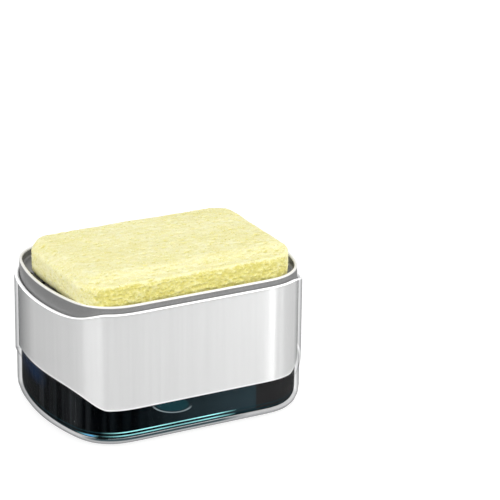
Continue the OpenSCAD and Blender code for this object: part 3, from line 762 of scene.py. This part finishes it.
def grey_tray():
    """The press-down tray: skirt, rounded rim, floor with ribs, drain holes and guide pins."""
    low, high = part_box("soap_tray")
    rim_z = high.z
    floor_z = rim_z - TRAY_DEPTH
    underside_z = floor_z - TRAY_FLOOR_T
    inside_z = floor_z - TRAY_FLOOR_T / 2
    skirt_in = SKIRT_OUT + SKIRT_T
    piece = lofted("grey_tray", [
        (FLOOR_INSET, underside_z, 0, 0),
        (skirt_in, underside_z, 0, 0.6 * MM),
        (skirt_in, rim_z - SKIRT_H, 0, 0.3 * MM),
        (SKIRT_OUT, rim_z - SKIRT_H, 0, 0.3 * MM),
        (SKIRT_OUT, rim_z, 0, 0.55 * MM),
        (skirt_in, rim_z, 0, 0.55 * MM),
        (skirt_in, floor_z, 0, 1.2 * MM),
        (FLOOR_INSET, floor_z, 0, 0),
    ])
    piece.data.materials.append(tray_plastic(rim_z))
    ribs = [
        rounded_bar(
            (side * x - RIB_W / 2, -RIB_LENGTH / 2, inside_z),
            (side * x + RIB_W / 2, RIB_LENGTH / 2, floor_z + RIB_H),
            RIB_EDGE,
        )
        for side in (-1, 1) for x in RIB_X
    ]
    pins = turned(
        [(x, y) for x in (-PIN_X, PIN_X) for y in (-PIN_Y, PIN_Y)],
        [(PIN_R - PIN_CHAMFER, low.z), (PIN_R, low.z + PIN_CHAMFER), (PIN_R, inside_z)],
    )
    combined(piece, [*ribs, pins], "UNION", piece.data.materials[0])
    holes = [
        turned(places, [(radius, inside_z - TRAY_FLOOR_T), (radius, floor_z + 1 * MM)])
        for places, radius in ((DRAIN_PLACES, DRAIN_R), ([(0, 0)], CENTRE_R))
    ]
    # The holes' walls are near black: painted shade in the holes
    combined(piece, holes, "DIFFERENCE", moulded("hole_wall_painted_shade", (0.012, 0.012, 0.013), 0.3))
    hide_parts("soap_tray")
    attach(piece, "tray_unit")


# The return spring: live turns between close end turns, each pitch a share of the wire
SPRING_WIRE_D = 1.2 * MM
SPRING_TURNS = 7
SPRING_FLAT_TURNS = 1
SPRING_FLAT_PITCH = 1.45
SPRING_STEPS = 32
WIRE_SIDES = 12


def coil_spring():
    """The return spring: live turns between close end turns."""
    low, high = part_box("return_spring")
    wire_r = SPRING_WIRE_D / 2
    radius = high.x - wire_r
    all_turns = SPRING_TURNS + 2 * SPRING_FLAT_TURNS
    flat = SPRING_FLAT_TURNS * SPRING_FLAT_PITCH * SPRING_WIRE_D
    live = high.z - low.z - SPRING_WIRE_D - 2 * flat
    knots = [0, SPRING_FLAT_TURNS, SPRING_FLAT_TURNS + SPRING_TURNS, all_turns]
    rises = np.cumsum([0, flat, live, flat])
    turns = np.linspace(0, all_turns, all_turns * SPRING_STEPS + 1)
    heights = low.z + wire_r + np.interp(turns, knots, rises)
    points, faces = [], []
    for turn, height in zip(turns, heights):
        angle = 2 * math.pi * turn
        for side in range(WIRE_SIDES):
            tilt = 2 * math.pi * side / WIRE_SIDES
            reach = radius + wire_r * math.cos(tilt)
            points.append((
                reach * math.cos(angle), reach * math.sin(angle), height + wire_r * math.sin(tilt)
            ))
    for i in range(len(turns) - 1):
        for side in range(WIRE_SIDES):
            n = (side + 1) % WIRE_SIDES
            a, b = i * WIRE_SIDES, (i + 1) * WIRE_SIDES
            faces.append((a + side, b + side, b + n, a + n))
    faces.append(tuple(range(WIRE_SIDES)))
    faces.append(tuple(range(len(points) - WIRE_SIDES, len(points)))[::-1])
    piece = mesh_object("coil_spring", points, faces)
    piece.data.materials.append(moulded("spring_steel", (0.56, 0.57, 0.59), 0.22, metallic=1.0))
    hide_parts("return_spring")
    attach(piece, "pump_unit")
    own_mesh(piece)


# Sponge

SPONGE_STEP = 0.5 * MM
SPONGE_CORNER_R = 14 * MM
SPONGE_EDGE_R = 2.4 * MM

# What is left for the swelling of the skin, the long sides and the left end
SKIN_SWELL = 0.2 * MM
SIDE_SWELL = 0.6 * MM
LEFT_SWELL = 0.8 * MM

# Waves of the whole surface: how high, and about how many there are in a metre each way
WRINKLE = 0.22 * MM
WRINKLE_SCALE = np.array((220, 640, 640))
SWELL = 0.4 * MM
SWELL_SCALE = np.array((48, 70, 70))

# The sag past the ends of the tray's ribs, the run that it takes, and the gap left to the tray
SAG = 2.3 * MM
SAG_REACH_X = 7 * MM
SAG_REACH_Y = 13 * MM
TRAY_GAP = 0.1 * MM

# How far a normal points front or back where the cut sides start, and the blur of that limit
CUT_START = 0.55
CUT_RANGE = 0.45
CUT_BLUR = 0.25
CUT_BLUR_SCALE = 180

# Pits of the skin and of the cut sides. A draw u from 0 to 1 gives the radius in millimetres,
# least + more * u ** power, and another the stretch, stretch + more_stretch * u. The depth is a
# share of the radius
SKIN_PITS = {
    "count": 5200, "least": 0.3, "more": 0.8, "power": 4,
    "depth": 0.5, "stretch": 1.2, "more_stretch": 1.8,
}
CUT_PITS = {
    "count": 5200, "least": 0.4, "more": 0.9, "power": 2.5,
    "depth": 0.6, "stretch": 1.0, "more_stretch": 1.2,
}

# For all pits: the seed of their draws, the deviation of their direction in radians, the factor
# of their depth (least + more * u), the depth at which their painted shade is full, and the least
# cosine between the normals of a pit's middle and of a point that it sinks
PIT_SEED = 7
PIT_TURN = 0.3
LEAST_DEPTH = 0.6
MORE_DEPTH = 0.8
PIT_SHADE_FULL_DEPTH = 0.6 * MM
PIT_COSINE = 0.3


def block_surface(size, step):
    """Points and quads of a box's surface on a regular lattice from 0 to size."""
    counts = [max(2, round(s / step)) for s in size]
    index, points, faces = {}, [], []

    def point(key):
        if key not in index:
            index[key] = len(points)
            points.append([k * s / c for k, s, c in zip(key, size, counts)])
        return index[key]

    for axis in range(3):
        u, v = (axis + 1) % 3, (axis + 2) % 3
        for side in (0, counts[axis]):
            for i in range(counts[u]):
                for j in range(counts[v]):
                    corners = []
                    for du, dv in ((0, 0), (1, 0), (1, 1), (0, 1)):
                        key = [0, 0, 0]
                        key[axis], key[u], key[v] = side, i + du, j + dv
                        corners.append(point(tuple(key)))
                    faces.append(corners if side else corners[::-1])
    return np.array(points), faces


def rounded_block(points, size):
    """Bends a box's surface points to a block with round upright corners and small round edges."""
    tiny = 1e-12
    half = np.array(size[:2]) / 2
    plan = points[:, :2] - half
    core = np.clip(plan, -(half - SPONGE_CORNER_R), half - SPONGE_CORNER_R)
    out = plan - core
    longest = np.abs(out).max(1)
    length = np.linalg.norm(out, axis=1)
    scale = np.where(length > 0, longest / np.maximum(length, tiny), 1)
    out = out * scale[:, None]
    direction = out / np.maximum(longest, tiny)[:, None]
    inset = SPONGE_CORNER_R - longest
    height = points[:, 2]
    depth = np.minimum(height, size[2] - height)
    a = np.clip(SPONGE_EDGE_R - inset, 0, None)
    b = np.clip(SPONGE_EDGE_R - depth, 0, None)
    both = (a > 0) & (b > 0)
    shrink = np.where(both, np.maximum(a, b) / np.maximum(np.hypot(a, b), tiny), 1)
    plan = core + out - direction * (a - a * shrink)[:, None]
    depth = np.where(both, SPONGE_EDGE_R - b * shrink, depth)
    height = np.where(height > size[2] / 2, size[2] - depth, depth)
    return np.c_[plan, height]


def vertex_normals(points, faces):
    """Outward unit normals at the points of a mesh of quads."""
    faces = np.array(faces)
    corners = points[faces]
    face_normals = np.cross(corners[:, 2] - corners[:, 0], corners[:, 3] - corners[:, 1])
    normals = np.zeros_like(points)
    for k in range(4):
        np.add.at(normals, faces[:, k], face_normals)
    return normals / np.maximum(np.linalg.norm(normals, axis=1), 1e-12)[:, None]


def droop(points):
    """How far the sponge sags past the ends of the tray's ribs, at points in place."""
    past_x = np.abs(points[:, 0]) - (RIB_X[-1] + RIB_W / 2)
    past_y = np.abs(points[:, 1]) - RIB_LENGTH / 2
    return SAG * ease(np.maximum(past_x / SAG_REACH_X, past_y / SAG_REACH_Y))


def dig_pits(points, normals, cut):
    """How far scattered pits sink the points, and each point's share of a full pit, used for
    painted shade.
    """
    tree = kdtree.KDTree(len(points))
    for i, p in enumerate(points):
        tree.insert(p, i)
    tree.balance()
    seeds = random.Random(PIT_SEED)
    sink, pit = np.zeros(len(points)), np.zeros(len(points))
    kinds = (SKIN_PITS, np.flatnonzero(cut < 0.5)), (CUT_PITS, np.flatnonzero(cut >= 0.5))
    for kind, spots in kinds:
        for _ in range(kind["count"]):
            centre = int(spots[seeds.randrange(len(spots))])
            radius = (kind["least"] + kind["more"] * seeds.random() ** kind["power"]) * MM
            depth = radius * kind["depth"] * (LEAST_DEPTH + MORE_DEPTH * seeds.random())
            angle = seeds.gauss(0, PIT_TURN)
            stretch = kind["stretch"] + kind["more_stretch"] * seeds.random()
            along = np.array([math.cos(angle), 0.5 * math.sin(angle), 0.5 * math.sin(angle)])
            along /= np.linalg.norm(along)
            for _, i, _ in tree.find_range(points[centre], radius * stretch):
                if normals[i] @ normals[centre] < PIT_COSINE:
                    continue
                offset = points[i] - points[centre]
                lengthwise = offset @ along
                across = np.linalg.norm(offset - lengthwise * along)
                distance = math.hypot(lengthwise / stretch, across) / radius
                if distance < 1:
                    share = (1 - distance**2) ** 1.5
                    sink[i] = max(sink[i], depth * share)
                    pit[i] = max(pit[i], share * min(1, depth / PIT_SHADE_FULL_DEPTH))
    return sink, pit


def sponge():
    """The cellulose sponge: a soft-edged block whose skin is broken by real pits of mixed sizes."""
    low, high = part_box("sponge")
    size = [h - l + 2 * SIDE_SWELL for l, h in zip(low, high)]
    size[0] += LEFT_SWELL
    size[2] = high.z - low.z - 2 * SKIN_SWELL
    lattice, faces = block_surface(size, SPONGE_STEP)
    points = rounded_block(lattice, size)
    normals = vertex_normals(points, faces)
    blur = np.array([CUT_BLUR * noise.noise(Vector(CUT_BLUR_SCALE * p)) for p in points])
    cut = ease((np.abs(normals[:, 1]) + blur - CUT_START) / CUT_RANGE)
    sink, pit = dig_pits(points, normals, cut)
    waves = np.array([
        WRINKLE * noise.noise(Vector(WRINKLE_SCALE * p))
        + SWELL * noise.noise(Vector(SWELL_SCALE * p))
        for p in points
    ])
    points = points + normals * (waves - sink)[:, None]
    points[:, 0] += (low.x + high.x - LEFT_SWELL) / 2
    points[:, 1] += (low.y + high.y) / 2
    points[:, 2] += low.z + SKIN_SWELL - droop(points)
    tray_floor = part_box("soap_tray")[1].z - TRAY_DEPTH
    points[:, 2] = np.maximum(points[:, 2], tray_floor + TRAY_GAP)
    piece = mesh_object("cellulose_sponge", points, faces)
    for key, field in (("pit", pit), ("cut", cut)):
        values = piece.data.attributes.new(key, "FLOAT", "POINT")
        values.data.foreach_set("value", field.astype(np.float32))
    piece.data.materials.append(sponge_cellulose())
    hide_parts("sponge")
    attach(piece, "loose_sponge")


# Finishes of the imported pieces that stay

RUBBER = moulded("matt_rubber", (0.03, 0.03, 0.032), 0.75, grain=700, strength=0.15)
FINISHES = {
    "non_slip_feet": RUBBER,
    "cylinder_gasket": RUBBER,
    "piston": RUBBER,
    "nozzle_seal": RUBBER,
    "deck_seal": moulded("pale_silicone", (0.72, 0.73, 0.73), 0.5),
    "pump_deck": moulded("deck_plastic", (0.16, 0.165, 0.172), 0.42),
    "collar_nut": moulded("nut_plastic", (0.07, 0.072, 0.078), 0.4),
    "stem_bush": moulded("bush_plastic", (0.72, 0.72, 0.7), 0.35),
    "valve_cage": moulded("cage_plastic", (0.76, 0.76, 0.74), 0.38),
    "pump_cylinder": moulded("cylinder_plastic", (0.8, 0.81, 0.82), 0.3),
    "dip_tube": moulded("tube_plastic", (0.8, 0.83, 0.85), 0.28),
    "pickup_foot": moulded("foot_plastic", (0.3, 0.42, 0.46), 0.3),
    "pump_stem": moulded("stem_plastic", (0.78, 0.79, 0.8), 0.3),
    "inlet_ball": moulded("ball_steel", (0.62, 0.63, 0.65), 0.12, metallic=1.0),
    "outlet_ball": moulded("outlet_steel", (0.62, 0.63, 0.65), 0.12, metallic=1.0),
    "piston_retainer": moulded("washer_steel", (0.6, 0.61, 0.62), 0.3, metallic=1.0),
    "soap_nozzle": moulded("nozzle_metal", (0.5, 0.5, 0.51), 0.3, metallic=0.8),
}


def finish_packed_pieces():
    for name, material in FINISHES.items():
        node = frame["nodes"][name]
        node.data.materials.clear()
        node.data.materials.append(material)


# Stage: floor, light and camera

# The floor's side, and the glow that shows it white to the camera and through the clear shell
FLOOR_SIDE = 6.0
FLOOR_LIFT = 0.8

# The studio's soft light: its level by direction, for every ray but those that see the backdrop
STUDIO_SIDE = Vector((-0.5, -0.8, 0.2)).normalized()
STUDIO_DARK = 0.8
STUDIO_BRIGHT = 1.0

# Lamps: name, place, size and power, all aimed at the caddy
LAMP_AIM = (0, 0, 0.04)
LAMPS = [
    ("key", (-0.3, -1.4, 0.7), (1.6, 1.0), 1.3),
    ("fill", (-1.38, -0.68, 0.38), (1.3, 0.9), 9.6),
    ("strip", (0.68, -0.98, 0.4), (0.13, 1.0), 5.0),
    ("thin_strip", (0.95, -0.74, 0.4), (0.03, 1.0), 1.5),
]


def in_view(tree):
    """1 for rays from the camera and through the clear shell, and 0 for the others."""
    path = tree.nodes.new("ShaderNodeLightPath")
    seen = tree.nodes.new("ShaderNodeMath")
    seen.operation = "MAXIMUM"
    tree.links.new(path.outputs["Is Camera Ray"], seen.inputs[0])
    tree.links.new(path.outputs["Is Transmission Ray"], seen.inputs[1])
    return seen.outputs[0]


def floor():
    mesh = bpy.data.meshes.new("floor")
    half = FLOOR_SIDE / 2
    corners = [(-half, -half, 0), (half, -half, 0), (half, half, 0), (-half, half, 0)]
    mesh.from_pydata(corners, [], [(0, 1, 2, 3)])
    piece = bpy.data.objects.new("floor", mesh)
    bpy.context.scene.collection.objects.link(piece)
    material = bpy.data.materials.new("pale_floor")
    material.use_nodes = True
    tree = material.node_tree
    main = tree.nodes["Principled BSDF"]
    main.inputs["Base Color"].default_value = (0.35, 0.35, 0.35, 1)
    main.inputs["Roughness"].default_value = 0.9
    main.inputs["Specular IOR Level"].default_value = 0.0
    main.inputs["Emission Color"].default_value = (1, 1, 1, 1)
    strength = tree.nodes.new("ShaderNodeMath")
    strength.operation = "MULTIPLY"
    strength.inputs[1].default_value = FLOOR_LIFT
    tree.links.new(in_view(tree), strength.inputs[0])
    tree.links.new(strength.outputs[0], main.inputs["Emission Strength"])
    mesh.materials.append(material)


def world():
    made = bpy.data.worlds.new("studio")
    bpy.context.scene.world = made
    made.use_nodes = True
    tree = made.node_tree
    background = tree.nodes["Background"]
    background.inputs["Color"].default_value = (1, 1, 1, 1)
    direction = tree.nodes.new("ShaderNodeTexCoord").outputs["Generated"]
    facing = tree.nodes.new("ShaderNodeVectorMath")
    facing.operation = "DOT_PRODUCT"
    facing.inputs[1].default_value = STUDIO_SIDE
    tree.links.new(direction, facing.inputs[0])
    lit = tree.nodes.new("ShaderNodeMapRange")
    lit.inputs["From Min"].default_value = -1.0
    lit.inputs["To Min"].default_value = STUDIO_DARK
    lit.inputs["To Max"].default_value = STUDIO_BRIGHT
    tree.links.new(facing.outputs["Value"], lit.inputs["Value"])
    level = tree.nodes.new("ShaderNodeMapRange")
    level.inputs["To Max"].default_value = 1.0
    tree.links.new(in_view(tree), level.inputs["Value"])
    tree.links.new(lit.outputs["Result"], level.inputs["To Min"])
    tree.links.new(level.outputs["Result"], background.inputs["Strength"])


def area_light(name, place, size, power):
    light = bpy.data.lights.new(name, "AREA")
    light.shape = "RECTANGLE"
    light.size, light.size_y = size
    light.energy = power
    lamp = bpy.data.objects.new(name, light)
    bpy.context.scene.collection.objects.link(lamp)
    lamp.location = place
    lamp.rotation_mode = "QUATERNION"
    lamp.rotation_quaternion = (Vector(LAMP_AIM) - Vector(place)).to_track_quat("-Z", "Y")


def camera():
    azimuth = math.radians(CAMERA_AZIMUTH_DEG)
    elevation = math.radians(CAMERA_ELEVATION_DEG)
    back = Vector((
        math.sin(azimuth) * math.cos(elevation),
        -math.cos(azimuth) * math.cos(elevation),
        math.sin(elevation),
    ))
    data = bpy.data.cameras.new("camera")
    data.sensor_width = SENSOR_WIDTH_MM
    data.lens = FOCAL_PX / PHOTO_SIDE_PX * SENSOR_WIDTH_MM
    eye = bpy.data.objects.new("camera", data)
    bpy.context.scene.collection.objects.link(eye)
    eye.location = back * CAMERA_DISTANCE
    middle = PHOTO_SIDE_PX / 2
    seen = Vector((
        (ORIGIN_PX[0] - middle) / FOCAL_PX, -(ORIGIN_PX[1] - middle) / FOCAL_PX, -1
    )).normalized()
    aim = (-back).to_track_quat("-Z", "Y")
    eye.rotation_mode = "QUATERNION"
    eye.rotation_quaternion = aim @ seen.rotation_difference(Vector((0, 0, -1)))
    bpy.context.scene.camera = eye


camera()
clear_shell()
silver_sleeve()
smoked_tub()
grey_tray()
coil_spring()
sponge()
finish_packed_pieces()
floor()
world()
for lamp_settings in LAMPS:
    area_light(*lamp_settings)
bpy.context.scene.view_settings.view_transform = "Standard"
